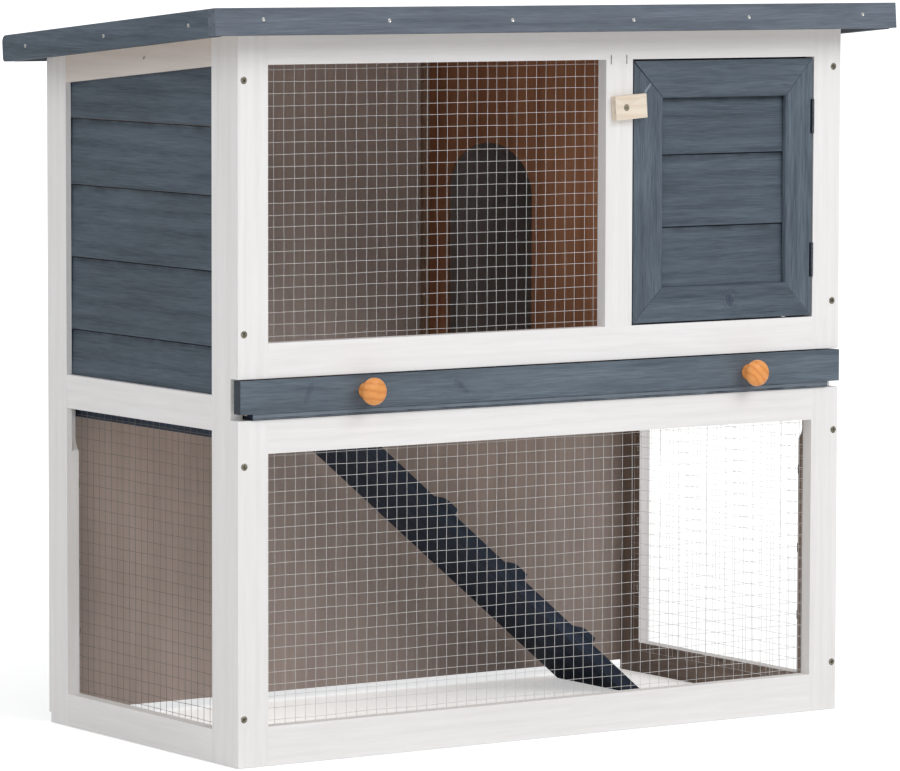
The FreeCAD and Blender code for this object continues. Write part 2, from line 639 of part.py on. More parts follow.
# ---------------------------------------------------------------- fasteners
def frame_screw(x, z):
    """A countersunk screw through a front stile into the post behind it."""
    tip = vec(LEFT + x, FRONT, z)
    head = Part.makeCone(SCREW_HEAD_RADIUS, SCREW_SHANK_RADIUS - 0.4, 2.6, tip + vec(0, -0.15, 0), vec(0, 1, 0))
    shank = rod(SCREW_SHANK_RADIUS - 0.4, tip + vec(0, 1.0, 0), vec(0, 1, 0), 36.0)
    return head.fuse(shank)


def roof_nail(x, y, z, direction):
    head = rod(ROOF_NAIL_RADIUS, vec(x, y, z), direction, 1.0)
    shank = rod(0.8, vec(x, y, z), direction, 24.0)
    return head.fuse(shank)


def roof_edge_nails():
    """Drawn on the level roof: six in the front board, three in each side, four at the back."""
    nails = [roof_nail(LEFT + x, 0.0, -down, vec(0, 1, 0)) for x, down in ROOF_NAILS_FRONT]
    for y in ROOF_NAILS_SIDE:
        u = (FRONT + y - EAVES_Y) / math.cos(PITCH)
        nails.append(roof_nail(ROOF_LEFT, u, -0.5 * SIDE_BOARD_HEIGHT, vec(1, 0, 0)))
        nails.append(roof_nail(ROOF_RIGHT, u, -0.5 * SIDE_BOARD_HEIGHT, vec(-1, 0, 0)))
    for x in spread(ROOF_LEFT, ROOF_RIGHT, 4):
        nails.append(roof_nail(x, ROOF_LENGTH, -DECK_DROP + DECK / 2, vec(0, -1, 0)))
    return Part.makeCompound(nails)


def staple(corner, along, inward, width=10.0, leg=9.0, wire=0.9):
    """A square wire staple; its crown lies along one way and its legs go inward."""
    side = along.cross(inward)

    def bar(start, a, b, c):
        points = [start, start + a, start + a + b, start + b, start]
        return Part.Face(Part.makePolygon(points)).extrude(c)

    crown = bar(corner, along * width, inward * wire, side * wire)
    first = bar(corner, along * wire, inward * leg, side * wire)
    second = bar(corner + along * (width - wire), along * wire, inward * leg, side * wire)
    return crown.multiFuse([first, second]).removeSplitter()


def joint_staples():
    z = UPPER_OPENING_TOP - 5.0
    return Part.makeCompound([staple(vec(LEFT + x, FRONT - 0.4, z), vec(0, 0, 1), vec(0, 1, 0))
                              for x in (481.6, 502.5)])


def spread(low, high, count):
    return [low + (high - low) * (i + 0.5) / count for i in range(count)]


def on_wire(places, wanted):
    return min(places, key=lambda at: abs(at - wanted))


def edge_gaps(low, high, pitch):
    """Places on the frame near both edges of a panel that miss the wires running along them."""
    places = wire_places(low, high, pitch)
    margin = places[0] - low
    inset = margin + pitch / 2 if margin < 3.0 else margin / 2
    return low + inset, high - inset


def mesh_staples(low, high, z0, z1, counts, corner, along, inward):
    """Staples over the wires round one panel. corner(a, z) gives a place on its inner face."""
    across, up = counts
    columns = wire_places(low, high, MESH_PITCH_ACROSS)
    rows = wire_places(z0, z1, MESH_PITCH_UP)
    made = []
    for wanted in spread(low + STILE, high - STILE, across):
        for z in edge_gaps(z0, z1, MESH_PITCH_UP)[:1 if corner == left_corner else 2]:
            made.append(staple(corner(on_wire(columns, wanted), z) - along * 5.0, along, inward))
    for wanted in spread(z0 + STILE, min(z1, BEARER_BOTTOM if z0 < BEARER_BOTTOM else z1) - STILE, up):
        for a in edge_gaps(low, high, MESH_PITCH_ACROSS):
            made.append(staple(corner(a, on_wire(rows, wanted)) - vec(0, 0, 5.0), vec(0, 0, 1), inward))
    return made


def front_corner(x, z):
    return vec(x, SIDE_FRONT + MESH_THICKNESS + 1.0, z)


def left_corner(y, z):
    return vec(INNER_LEFT + MESH_THICKNESS + 1.0, y, z)


def back_panel_nails():
    inset = TIMBER / 2
    nails = []
    for x in (LEFT + inset, RIGHT - inset):
        for z in spread(BACK_PANEL_BOTTOM, 740.0, 7):
            nails.append(roof_nail(x, BACK, z, vec(0, -1, 0)))
    for x in spread(INNER_LEFT, INNER_RIGHT, 5):
        nails.append(roof_nail(x, BACK, FLOOR_BOTTOM - BEARER_HEIGHT / 2, vec(0, -1, 0)))
    return Part.makeCompound(nails)


# ---------------------------------------------------------------- assembly
SIDES = ("left_", "right_")
SET_INTO = {
    "frame_screws": ["upper_front_stiles", "lower_front_stiles"] + [s + "front_post" for s in SIDES],
    "roof_edge_nails": ["roof_front_board", "roof_back_board", "roof_deck", "roof_left_board", "roof_right_board",
                        "left_top_rail", "right_top_rail", "roof_battens"],
    "joint_staples": ["divider_stile", "upper_front_top_rail"],
    "mesh_staples": ["upper_front_stiles", "lower_front_stiles", "upper_front_top_rail", "divider_stile",
                     "upper_front_bottom_rail", "lower_front_top_rail", "lower_front_bottom_rail"]
                    + [s + p for s in SIDES for p in ("front_post", "back_post", "bottom_rail")],
    "back_panel_nails": ["back_panel", "floor_bearers"] + [s + "back_post" for s in SIDES],
    "turn_button_screw": ["divider_stile"],
    "knob_screws": ["drawer_front", "drawer_knobs"],
}


def build_nodes():
    nodes = {
        "lower_front_stiles": both_stiles(level(0.0), level(LOWER_FRAME_TOP)),
        "lower_front_bottom_rail": front_rail(0.0, level(LOWER_BOTTOM_RAIL)),
        "lower_front_top_rail": front_rail(LOWER_OPENING_TOP, level(LOWER_FRAME_TOP)),
        "upper_front_stiles": both_stiles(level(UPPER_FRAME_BOTTOM), roof_underside),
        "upper_front_bottom_rail": front_rail(UPPER_FRAME_BOTTOM, level(UPPER_OPENING_BOTTOM)),
        "upper_front_top_rail": front_rail(UPPER_OPENING_TOP, roof_underside),
        "divider_stile": divider_stile(),
        "back_panel": back_panel(),
        "partition": partition(),
        "partition_corner_strip": corner_strip(),
        "floor_panel": floor_panel(),
        "floor_bearers": floor_bearers(),
        "ramp_bearer": ramp_bearer(),
        "door_boards": door_boards(),
        "turn_button": turn_button(),
        "turn_button_screw": turn_button_screw(),
        "drawer_front": drawer_front(),
        "tray_bottom": tray_bottom(),
        "tray_battens": tray_battens(),
        "drawer_knobs": Part.makeCompound([drawer_knob(x, z) for x, z in KNOB_PLACES]),
        "knob_screws": Part.makeCompound([knob_screw(x, z) for x, z in KNOB_PLACES]),
        "ramp_board": ramp_board(),
        "ramp_cleats": ramp_cleats(),
        "frame_screws": Part.makeCompound([frame_screw(x, z) for x, z in FRAME_SCREWS]),
        "joint_staples": joint_staples(),
        "back_panel_nails": back_panel_nails(),
    }
    nodes.update(roof_pieces())
    for name, shape in left_wall().items():
        nodes["left_" + name] = shape
        nodes["right_" + name] = mirror(shape)
    for name, outline in door_outlines().items():
        nodes[name] = door_member(outline)

    upper = (LEFT + STILE - MESH_OVERLAP, LEFT + DIVIDER_LEFT + MESH_OVERLAP,
             UPPER_OPENING_BOTTOM - MESH_OVERLAP, UPPER_OPENING_TOP + MESH_OVERLAP)
    lower = (LEFT + STILE - MESH_OVERLAP, RIGHT - STILE + MESH_OVERLAP,
             LOWER_BOTTOM_RAIL - MESH_OVERLAP, LOWER_OPENING_TOP + MESH_OVERLAP)
    side = (SIDE_FRONT + STILE - MESH_OVERLAP, SIDE_BACK - STILE + MESH_OVERLAP,
            SIDE_BOTTOM_RAIL - MESH_OVERLAP, FLOOR_BOTTOM - 2.0)
    nodes["front_upper_mesh"] = front_mesh(*upper)
    nodes["front_lower_mesh"] = front_mesh(*lower)
    nodes["left_mesh"] = left_mesh(*side)
    nodes["right_mesh"] = mirror(nodes["left_mesh"])
    front_way = (front_corner, vec(1, 0, 0), vec(0, -1, 0))
    left_staples = mesh_staples(*side, (3, 3), left_corner, vec(0, 1, 0), vec(-1, 0, 0))
    nodes["mesh_staples"] = Part.makeCompound(
        mesh_staples(*upper, (4, 3), *front_way) + mesh_staples(*lower, (7, 3), *front_way)
        + left_staples + [mirror(s) for s in left_staples])

    door_hinges = [door_hinge(z) for z in DOOR_HINGE_PLACES]
    ramp_hinges = [ramp_hinge(FRONT + y) for y in RAMP_HINGE_PLACES]
    nodes["hinge_frame_leaves"] = Part.makeCompound([h[0] for h in door_hinges])
    nodes["hinge_door_leaves"] = Part.makeCompound([h[1] for h in door_hinges])
    nodes["ramp_hinge_floor_leaves"] = Part.makeCompound([h[0] for h in ramp_hinges])
    nodes["ramp_hinge_ramp_leaves"] = Part.makeCompound([h[1] for h in ramp_hinges])
    nodes["hinge_pins"] = Part.makeCompound([h[2] for h in door_hinges + ramp_hinges])
    for host in ("door_right_stile", "upper_front_stiles"):
        nodes[host] = nodes[host].cut(hinge_mortises())
    for fastener, hosts in SET_INTO.items():
        for host in hosts:
            nodes[host] = nodes[host].cut(nodes[fastener])
    return nodes


def main():
    os.makedirs("parts", exist_ok=True)
    nodes = build_nodes()
    for name, shape in nodes.items():
        shape.exportStep(os.path.join("parts", name + ".step"))
    whole = Part.makeCompound(list(nodes.values())).BoundBox
    print(len(nodes), "nodes, box", whole)
    print("door hinge at", DOOR_HINGE_X, DOOR_HINGE_Y)


main()
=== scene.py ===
"""Rabbit hutch: materials, mesh wires, small hardware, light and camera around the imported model."""
import math
import random

import bpy
from mathutils import Matrix, Vector, noise


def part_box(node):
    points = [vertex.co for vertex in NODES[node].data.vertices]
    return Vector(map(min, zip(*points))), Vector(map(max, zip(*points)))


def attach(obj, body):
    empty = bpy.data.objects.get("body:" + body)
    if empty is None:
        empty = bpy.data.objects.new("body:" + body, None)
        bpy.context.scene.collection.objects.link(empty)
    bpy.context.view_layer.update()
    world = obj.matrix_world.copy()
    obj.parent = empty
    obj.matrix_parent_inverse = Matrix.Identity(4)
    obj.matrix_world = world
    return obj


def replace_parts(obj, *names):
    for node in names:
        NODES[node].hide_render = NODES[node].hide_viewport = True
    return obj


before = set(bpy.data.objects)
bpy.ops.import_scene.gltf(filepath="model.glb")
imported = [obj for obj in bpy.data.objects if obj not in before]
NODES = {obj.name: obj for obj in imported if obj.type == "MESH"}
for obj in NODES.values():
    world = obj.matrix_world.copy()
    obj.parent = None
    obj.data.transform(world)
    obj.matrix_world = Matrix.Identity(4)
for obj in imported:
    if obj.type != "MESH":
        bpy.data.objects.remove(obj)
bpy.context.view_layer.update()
MM = 0.001


# ------------------------------------------------------------------ node helpers
class Tree:
    """A material's node tree with short ways to add and join nodes."""

    def __init__(self, name):
        self.material = bpy.data.materials.new(name)
        self.material.use_nodes = True
        self.nodes = self.material.node_tree.nodes
        self.links = self.material.node_tree.links
        self.nodes.clear()
        self.shader = self.nodes.new("ShaderNodeBsdfPrincipled")
        out = self.nodes.new("ShaderNodeOutputMaterial")
        self.links.new(self.shader.outputs[0], out.inputs["Surface"])

    def put(self, socket, value):
        if isinstance(value, bpy.types.NodeSocket):
            self.links.new(value, socket)
        else:
            socket.default_value = value

    def add(self, kind, inputs=(), output=0, **settings):
        node = self.nodes.new(kind)
        for key, value in settings.items():
            setattr(node, key, value)
        for key, value in dict(inputs).items():
            self.put(node.inputs[key], value)
        return node.outputs[output]

    def math(self, operation, a, b=None):
        values = {i: v for i, v in enumerate((a, b)) if v is not None}
        return self.add("ShaderNodeMath", values, operation=operation)

    def vector(self, operation, a, b=None):
        values = {i: v for i, v in enumerate((a, b)) if v is not None}
        return self.add("ShaderNodeVectorMath", values, operation=operation)

    def mix(self, factor, a, b):
        node = self.nodes.new("ShaderNodeMix")
        node.data_type = "RGBA"
        self.put(node.inputs["Factor"], factor)
        self.put(node.inputs[6], a)
        self.put(node.inputs[7], b)
        return node.outputs[2]

    def step(self, value, low, high, to_low=0.0, to_high=1.0):
        return self.add("ShaderNodeMapRange", {"Value": value, "From Min": low, "From Max": high,
                                               "To Min": to_low, "To Max": to_high})

    def noise(self, vector, scale, detail=3.0, roughness=0.5, distortion=0.0):
        return self.add("ShaderNodeTexNoise", {"Vector": vector, "Scale": scale, "Detail": detail,
                                               "Roughness": roughness, "Distortion": distortion})

    def bump(self, height, strength, distance):
        return self.add("ShaderNodeBump", {"Height": height, "Strength": strength, "Distance": distance})


def rgb(r, g, b):
    """A colour given as it looks on screen, turned into linear light."""
    def lin(c):
        c /= 255.0
        return c / 12.92 if c < 0.04045 else ((c + 0.055) / 1.055) ** 2.4
    return (lin(r), lin(g), lin(b), 1.0)


def place(tree, turn, whole):
    """The grain's coordinates, the object's own, and a random number for every separate piece.

    The grain's are turned to X and shifted at random; a node that is one whole sheet is left unshifted."""
    coords = tree.add("ShaderNodeTexCoord", output=3)
    if whole:
        return tree.add("ShaderNodeMapping", {"Vector": coords, "Rotation": turn}), coords, 0.5
    island = tree.add("ShaderNodeNewGeometry", output=8)
    shift = tree.vector("SCALE", (3.1, 1.7, 2.3))
    tree.put(shift.node.inputs[3], island)
    moved = tree.vector("ADD", coords, shift)
    return tree.add("ShaderNodeMapping", {"Vector": moved, "Rotation": turn}), coords, island


RAMP_GRAIN_DEG = -40
TURNS = {"x": (0, 0, 0), "y": (0, 0, -math.pi / 2), "z": (0, math.pi / 2, 0),
         "ramp": (0, math.radians(RAMP_GRAIN_DEG), 0)}


def wood(name, grain, light, dark, contrast=0.6, rings=120.0, rough=(0.5, 0.7), bump=0.25,
         cloud=0.15, fibres=0.5, fine=0.0, marks=(), laps=(), lap_depth=0.008, tints=(), painted_light_by_height=(), shine=0.35,
         whole=False):
    """Flat-sawn softwood: growth rings cut at a slant, fibres, soft clouds of stain, knots and scuffs.

    marks are (centre, size, angle, colour, strength, swirl) in metres and degrees, in the part frame.
    laps are heights of lapped edges; below each, over lap_depth, the stain darkens: stain pooled in the joint
    plus painted shade under the lapped edge.
    tints are (axis, sign, pale, deep), other colours for the faces that look that way.
    painted_light_by_height is (low, high, factor low, factor high), painted light and shade as a change of
    tone with height."""
    tree = Tree(name)
    p, coords, island = place(tree, TURNS[grain], whole)
    tilt = tree.add("ShaderNodeMapping", {"Vector": p, "Rotation": (0.1, 0.035, 0.05), "Scale": (0.16, 1, 1)})
    wave = tree.add("ShaderNodeTexWave",
                    {"Vector": tilt, "Scale": rings / 6.283, "Distortion": 3.2, "Detail": 2.0,
                     "Detail Scale": 0.7, "Detail Roughness": 0.55},
                    output=1, wave_type="RINGS", rings_direction="X", wave_profile="SIN")
    long = tree.add("ShaderNodeMapping", {"Vector": p, "Scale": (0.035, 1, 1)})
    fibre = tree.noise(long, 520.0, 5.0, 0.7)
    drawn = tree.add("ShaderNodeMapping", {"Vector": p, "Scale": (0.06, 1, 1)})
    streak = tree.noise(drawn, 130.0, 4.0, 0.6, 0.4)
    ring = tree.math("POWER", wave, 2.2)
    mixed = tree.math("ADD", tree.math("MULTIPLY", ring, contrast),
                      tree.math("ADD", tree.math("MULTIPLY", tree.step(fibre, 0.32, 0.68), 0.5 * fibres),
                                tree.math("MULTIPLY", tree.step(streak, 0.34, 0.66), 0.5 * fibres)))
    mixed = tree.math("MULTIPLY", mixed, 1.0 / (contrast + fibres))
    if fine:
        thin = tree.add("ShaderNodeMapping", {"Vector": p, "Scale": (0.03, 1, 1)})
        hair = tree.noise(thin, 1250.0, 2.0, 0.6)
        mixed = tree.math("ADD", mixed, tree.step(hair, 0.36, 0.64, -fine, fine))
    blotch = tree.noise(tree.add("ShaderNodeMapping", {"Vector": p, "Scale": (0.3, 1, 1)}), 16.0, 3.0)
    tone = tree.math("ADD", tree.step(blotch, 0.3, 0.7, 1.0 - cloud, 1.0 + cloud),
                     tree.step(island, 0.0, 1.0, -0.5 * cloud, 0.5 * cloud))
    if painted_light_by_height:
        height_up = tree.add("ShaderNodeSeparateXYZ", {0: coords}, output=2)
        tone = tree.math("MULTIPLY", tone, tree.step(height_up, *painted_light_by_height))
    colour = tree.vector("SCALE", tree.mix(mixed, light, dark))
    tree.put(colour.node.inputs[3], tone)
    for centre, size, angle, shade, strength, swirl in marks:
        away = tree.vector("SUBTRACT", coords, centre)
        laid = tree.add("ShaderNodeMapping", {"Vector": away, "Rotation": (0, math.radians(angle), 0)})
        flat = tree.vector("MULTIPLY", laid, tuple(1.0 / s for s in size))
        wobble = tree.noise(coords, 240.0, 3.0)
        far = tree.math("ADD", tree.vector("LENGTH", flat).node.outputs[1],
                        tree.step(wobble, 0.25, 0.75, -0.4, 0.4))
        if swirl:
            loops = tree.step(tree.math("SINE", tree.math("MULTIPLY", far, 9.0)), -0.2, 1.0)
            loops = tree.math("MULTIPLY", loops, tree.step(far, 0.9, 2.6, swirl, 0.0))
            colour = tree.mix(loops, colour, dark)
        colour = tree.mix(tree.step(far, 0.3, 1.15, strength, 0.0), colour, shade)
    for axis, sign, pale, deep in tints:
        side = tree.add("ShaderNodeSeparateXYZ", {0: tree.add("ShaderNodeNewGeometry", output=3)},
                        output="XYZ".index(axis))
        facing_it = tree.step(tree.math("MULTIPLY", side, sign), 0.6, 0.9)
        colour = tree.mix(facing_it, colour, tree.mix(mixed, pale, deep))
    # each lap darkens a ragged band below it: pooled stain plus painted shade under the overhanging board
    if laps:
        up = tree.add("ShaderNodeSeparateXYZ", {0: coords}, output=2)
        level = tree.add("ShaderNodeMapping", {"Vector": coords, "Scale": (1, 1, 0.3)})
        ragged = tree.noise(level, 45.0, 3.0)
        deepest_pool_and_shade = tuple(0.45 * c for c in dark[:3]) + (1.0,)
        for lap in laps:
            under = tree.math("SUBTRACT", lap, up)
            pool_and_shade = tree.math("MULTIPLY", tree.step(under, 0.0005, lap_depth, 1.0, 0.0),
                             tree.step(under, -0.0006, -0.0002, 0.0, 1.0))
            pool_and_shade = tree.math("MULTIPLY", pool_and_shade, tree.step(ragged, 0.3, 0.65, 0.15, 0.85))
            colour = tree.mix(pool_and_shade, colour, deepest_pool_and_shade)
    tree.put(tree.shader.inputs["Base Color"], colour)
    tree.put(tree.shader.inputs["Roughness"], tree.step(fibre, 0.2, 0.8, rough[0], rough[1]))
    tree.put(tree.shader.inputs["Normal"], tree.bump(mixed, bump, 0.0004))
    tree.shader.inputs["Specular IOR Level"].default_value = shine
    return tree.material


def metal(name, base, dark, rough=(0.3, 0.5), scale=400.0, metallic=0.9):
    tree = Tree(name)
    coords = tree.add("ShaderNodeTexCoord", output=3)
    spots = tree.noise(coords, scale, 3.0, 0.6)
    tree.put(tree.shader.inputs["Base Color"], tree.mix(tree.step(spots, 0.35, 0.65), base, dark))
    tree.put(tree.shader.inputs["Roughness"], tree.step(spots, 0.3, 0.7, rough[0], rough[1]))
    tree.shader.inputs["Metallic"].default_value = metallic
    tree.put(tree.shader.inputs["Normal"], tree.bump(spots, 0.15, 0.0001))
    return tree.material


def mineral_felt():
    """Roofing felt with fine slate granules."""
    tree = Tree("mineral_felt")
    coords = tree.add("ShaderNodeTexCoord", output=3)
    cells = tree.nodes.new("ShaderNodeTexVoronoi")
    tree.put(cells.inputs["Vector"], coords)
    cells.inputs["Scale"].default_value = 650.0
    grain = tree.add("ShaderNodeSeparateColor", {0: cells.outputs["Color"]})
    patches = tree.noise(coords, 9.0, 4.0)
    base = tree.mix(grain, rgb(62, 66, 72), rgb(118, 122, 128))
    worn = tree.step(patches, 0.3, 0.7, 0.0, 0.25)
    tree.put(tree.shader.inputs["Base Color"], tree.mix(worn, base, rgb(70, 72, 76)))
    tree.put(tree.shader.inputs["Roughness"], tree.step(grain, 0.0, 1.0, 0.8, 1.0))
    tree.put(tree.shader.inputs["Normal"], tree.bump(cells.outputs["Distance"], 0.8, 0.0006))
    return tree.material


# ------------------------------------------------------------------ finishes
WHITE, WHITE_LINE = rgb(243, 242, 242), rgb(232, 230, 229)
GREY, GREY_LINE = rgb(99, 111, 123), rgb(66, 77, 88)
# colour of the frames' inner faces: bare wood, darkened with painted shade for the inside of the hutch
INNER_BARE_AND_SHADE, INNER_BARE_AND_SHADE_LINE = rgb(162, 146, 137), rgb(126, 110, 101)
NAVY, NAVY_LINE = rgb(56, 66, 83), rgb(34, 42, 56)


def paint(name, grain, tints=(), light=WHITE, dark=WHITE_LINE):
    return wood(name, grain, light, dark, contrast=0.2, rings=170.0, rough=(0.42, 0.6), bump=0.08,
                cloud=0.015, fibres=0.8, tints=tints)


def stain(name, grain, light=GREY, dark=GREY_LINE, contrast=0.3, rings=110.0, fine=0.22, **more):
    return wood(name, grain, light, dark, contrast=contrast, rings=rings, rough=(0.5, 0.68), bump=0.35,
                cloud=0.14, fibres=1.0, fine=fine, **more)


FRONT_Y = -0.188            # the front frames' face
DRAWER_Y = -0.192           # about the drawer front's face


def mark(x, z, wide, tall, angle, colour, strength, swirl=0.0, y=FRONT_Y):
    """A knot, smudge or scuff on a front face. x, z, wide and tall are in millimetres, y in metres."""
    return (Vector((x * MM, y, z * MM)), (wide * MM, 20 * MM, tall * MM), angle, colour, strength, swirl)


PAINT = {axis: paint("white_paint_" + axis, axis) for axis in "xz"}
BARE = {axis: wood("bare_pine_" + axis, axis, rgb(232, 210, 178), rgb(204, 170, 130), bump=0.3)
        for axis in "xy"}
DARK = {axis: stain("dark_stain_" + axis, axis, light=NAVY, dark=NAVY_LINE, shine=0.15)
        for axis in "xy"}
STEEL = metal("zinc_steel", rgb(172, 168, 154), rgb(112, 106, 92), (0.3, 0.5))
WIRE = metal("galvanised_wire", rgb(222, 222, 222), rgb(204, 204, 204), (0.35, 0.5), 700.0, 0.25)
# lit and shaded copies of the wire: a version with painted light and a version with painted shade for the
# side meshes
LIT_WIRE = metal("wire_painted_light", rgb(250, 250, 250), rgb(240, 240, 240), (0.4, 0.55), 700.0, 0.0)
SHADED_WIRE = metal("wire_painted_shade", rgb(132, 130, 126), rgb(104, 102, 98), (0.45, 0.6), 700.0, 0.5)
HINGE = metal("blackened_hinge", rgb(90, 97, 109), rgb(58, 63, 72), (0.4, 0.6), 500.0, 0.5)

LAP_BELOW = 0.9         # millimetres from a board's edge down to where the pooled stain and painted shade are darkest
DOOR_BOARD_EDGES = (557.2, 637.4, 700.6)
WALL_BOARD_EDGES = (444.0, 524.2, 604.4, 677.6)


def lap_heights(edges):
    return [(edge - LAP_BELOW) * MM for edge in edges]


FINISH = {
    "lower_front_stiles": PAINT["z"], "upper_front_stiles": PAINT["z"], "divider_stile": PAINT["z"],
    "lower_front_top_rail": PAINT["x"], "lower_front_bottom_rail": PAINT["x"],
    "upper_front_top_rail": PAINT["x"], "upper_front_bottom_rail": PAINT["x"],
    "floor_panel": BARE["x"],
    # the tray's front edge is lighter as a painted highlight, and its two laps paint shadow lines at the lip
    "tray_bottom": stain("tray_stain", "x", light=NAVY, dark=NAVY_LINE, shine=0.15,
                         laps=[0.3764, 0.3714], lap_depth=0.0018,
                         tints=[("Y", -1.0, rgb(128, 138, 148), rgb(98, 108, 118))]),
    "tray_battens": BARE["y"],
    "roof_deck": BARE["x"], "roof_battens": BARE["y"], "floor_bearers": DARK["y"], "ramp_bearer": DARK["y"],
    # the back sheet is painted lighter above 0.40 m and a little darker below 0.36 m: painted light in the
    # upper storey under the roof, painted shade below
    "back_panel": wood("back_sheet_wood", "z", rgb(198, 182, 175), rgb(178, 163, 156),
                       contrast=0.12, rings=50.0, bump=0.1, cloud=0.07,
                       painted_light_by_height=(0.36, 0.40, 0.96, 1.2), whole=True,
                       tints=[("Y", 1.0, GREY, GREY_LINE), ("X", 1.0, WHITE, WHITE_LINE),
                              ("X", -1.0, WHITE, WHITE_LINE)]),
    "partition": wood("partition_ply", "z", rgb(194, 138, 104), rgb(160, 106, 76),
                      contrast=0.25, rings=60.0, bump=0.2, cloud=0.10),
    # the corner strip is lighter than its wood: painted light, as the strip stands in shade in the corner
    "partition_corner_strip": wood("corner_strip_wood_painted_light", "z", rgb(184, 154, 132), rgb(152, 124, 104),
                                   contrast=0.3, bump=0.2, cloud=0.08),
    "roof_felt": mineral_felt(),
    "roof_front_board": stain("fascia_stain", "x", light=rgb(107, 116, 128), dark=rgb(77, 86, 98),
                              rings=150.0),
    "roof_back_board": stain("back_fascia_stain", "x"),
    "door_left_stile": stain("door_stile_stain", "z", fine=0.35, marks=[
        mark(131.0, 711.5, 9.5, 1.6, 47.7, rgb(150, 163, 176), 0.8),
        mark(124.0, 560.0, 3.0, 30.0, 0, GREY_LINE, 0.5)]),
    "door_right_stile": stain("door_stile_stain_b", "z", fine=0.35),
    "door_top_rail": stain("door_rail_stain", "x", marks=[mark(322.0, 712.0, 9.0, 1.6, -8, NAVY, 0.6)]),
    "door_bottom_rail": stain("door_bottom_stain", "x", light=rgb(92, 104, 116), dark=rgb(58, 69, 80), marks=[
        mark(245.5, 473.5, 5.5, 7.5, 20, NAVY, 0.85, 0.8), mark(252.0, 482.0, 7.0, 2.0, -35, NAVY, 0.45)]),
    # the laps paint pooled stain and shade below each door board's edge
    "door_boards": stain("door_board_stain", "x", light=rgb(90, 102, 114), dark=rgb(58, 69, 80),
                         laps=lap_heights(DOOR_BOARD_EDGES)),
    # the drawer front's end face looking left is darker: painted shade
    "drawer_front": stain("drawer_stain", "x", light=rgb(106, 118, 129), dark=rgb(72, 83, 94), rings=90.0,
                          tints=[("X", -1.0, rgb(62, 70, 80), rgb(44, 51, 60))], marks=[
                              mark(-314.0, 396.0, 4.0, 12.0, -24, NAVY, 0.4, 0.4, DRAWER_Y),
                              mark(-119.0, 394.0, 4.0, 12.0, 52, NAVY, 0.5, 0.4, DRAWER_Y)]),
    "ramp_board": stain("ramp_stain", "ramp", light=NAVY, dark=NAVY_LINE, shine=0.15),
    "ramp_cleats": stain("cleat_stain", "y", light=NAVY, dark=NAVY_LINE, shine=0.15),
    "turn_button": wood("button_pine", "x", rgb(240, 228, 212), rgb(224, 206, 184), contrast=0.3, rings=200.0,
                        bump=0.15, cloud=0.04),
    "turn_button_screw": STEEL, "hinge_frame_leaves": HINGE, "hinge_door_leaves": HINGE,
    "ramp_hinge_floor_leaves": HINGE, "ramp_hinge_ramp_leaves": HINGE, "hinge_pins": HINGE,
}
# frame faces looking into the hutch take the inner colour: bare wood plus painted shade
for side, inward in (("left_", 1.0), ("right_", -1.0)):
    for part, grain in (("front_post", "z"), ("back_post", "z"), ("mid_rail", "y"),
                        ("bottom_rail", "y")):
        FINISH[side + part] = paint("white_" + side + part, grain, [("X", inward, INNER_BARE_AND_SHADE, INNER_BARE_AND_SHADE_LINE)])
    # the top rails under the roof are a darker, warmer white: painted shade from the roof overhang
    FINISH[side + "top_rail"] = paint("white_" + side + "eaves_rail_painted_shade", "y",
                                      [("X", inward, INNER_BARE_AND_SHADE, INNER_BARE_AND_SHADE_LINE)],
                                      rgb(234, 226, 220), rgb(222, 212, 206))
    # the laps paint pooled stain and shade below each wall board's edge
    FINISH[side + "wall_boards"] = stain(side + "board_stain", "y", light=rgb(90, 102, 114),
                                         dark=rgb(58, 70, 81), rings=100.0,
                                         laps=lap_heights(WALL_BOARD_EDGES))
    FINISH["roof_" + side + "board"] = stain("roof_" + side + "stain", "y", light=rgb(96, 108, 120),
                                             dark=rgb(64, 75, 86))

HARDWARE_WORDS = ("mesh", "hinge", "nail", "screw", "staple")
WOODEN = {name for name in NODES if not any(word in name for word in HARDWARE_WORDS)}
SOFTENED = WOODEN - {"back_panel", "roof_felt", "roof_deck", "floor_panel", "tray_bottom", "drawer_knobs"}
ARRIS, FINE_ARRIS = 0.8 * MM, 0.5 * MM


def soften(obj, width):
    """Joins the facets of a timber piece and, given a width, eases its sharp arrises."""
    weld = obj.modifiers.new("weld", "WELD")
    weld.merge_threshold = 0.00001
    plane = obj.modifiers.new("plane", "DECIMATE")
    plane.decimate_type = "DISSOLVE"
    plane.angle_limit = math.radians(1.5)
    if not width:
        return
    bevel = obj.modifiers.new("ease", "BEVEL")
    bevel.width = width
    bevel.segments = 2
    bevel.limit_method = "ANGLE"
    bevel.angle_limit = math.radians(50)
    even = obj.modifiers.new("even", "WEIGHTED_NORMAL")
    even.weight = 90
    even.keep_sharp = False


for name, obj in NODES.items():
    material = FINISH.get(name, STEEL)
    obj.data.materials.clear()
    obj.data.materials.append(material)
    if name in WOODEN - SOFTENED:
        soften(obj, 0.0)
    if name in SOFTENED:
        slim = ("board" in name and "roof" not in name) or "front_" in name or name == "divider_stile"
        soften(obj, FINE_ARRIS if slim else ARRIS)


# ------------------------------------------------------------------ building pieces
def new_object(name, data, body, material):
    obj = bpy.data.objects.new(name, data)
    bpy.context.scene.collection.objects.link(obj)
    data.materials.append(material)
    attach(obj, body)
    return obj


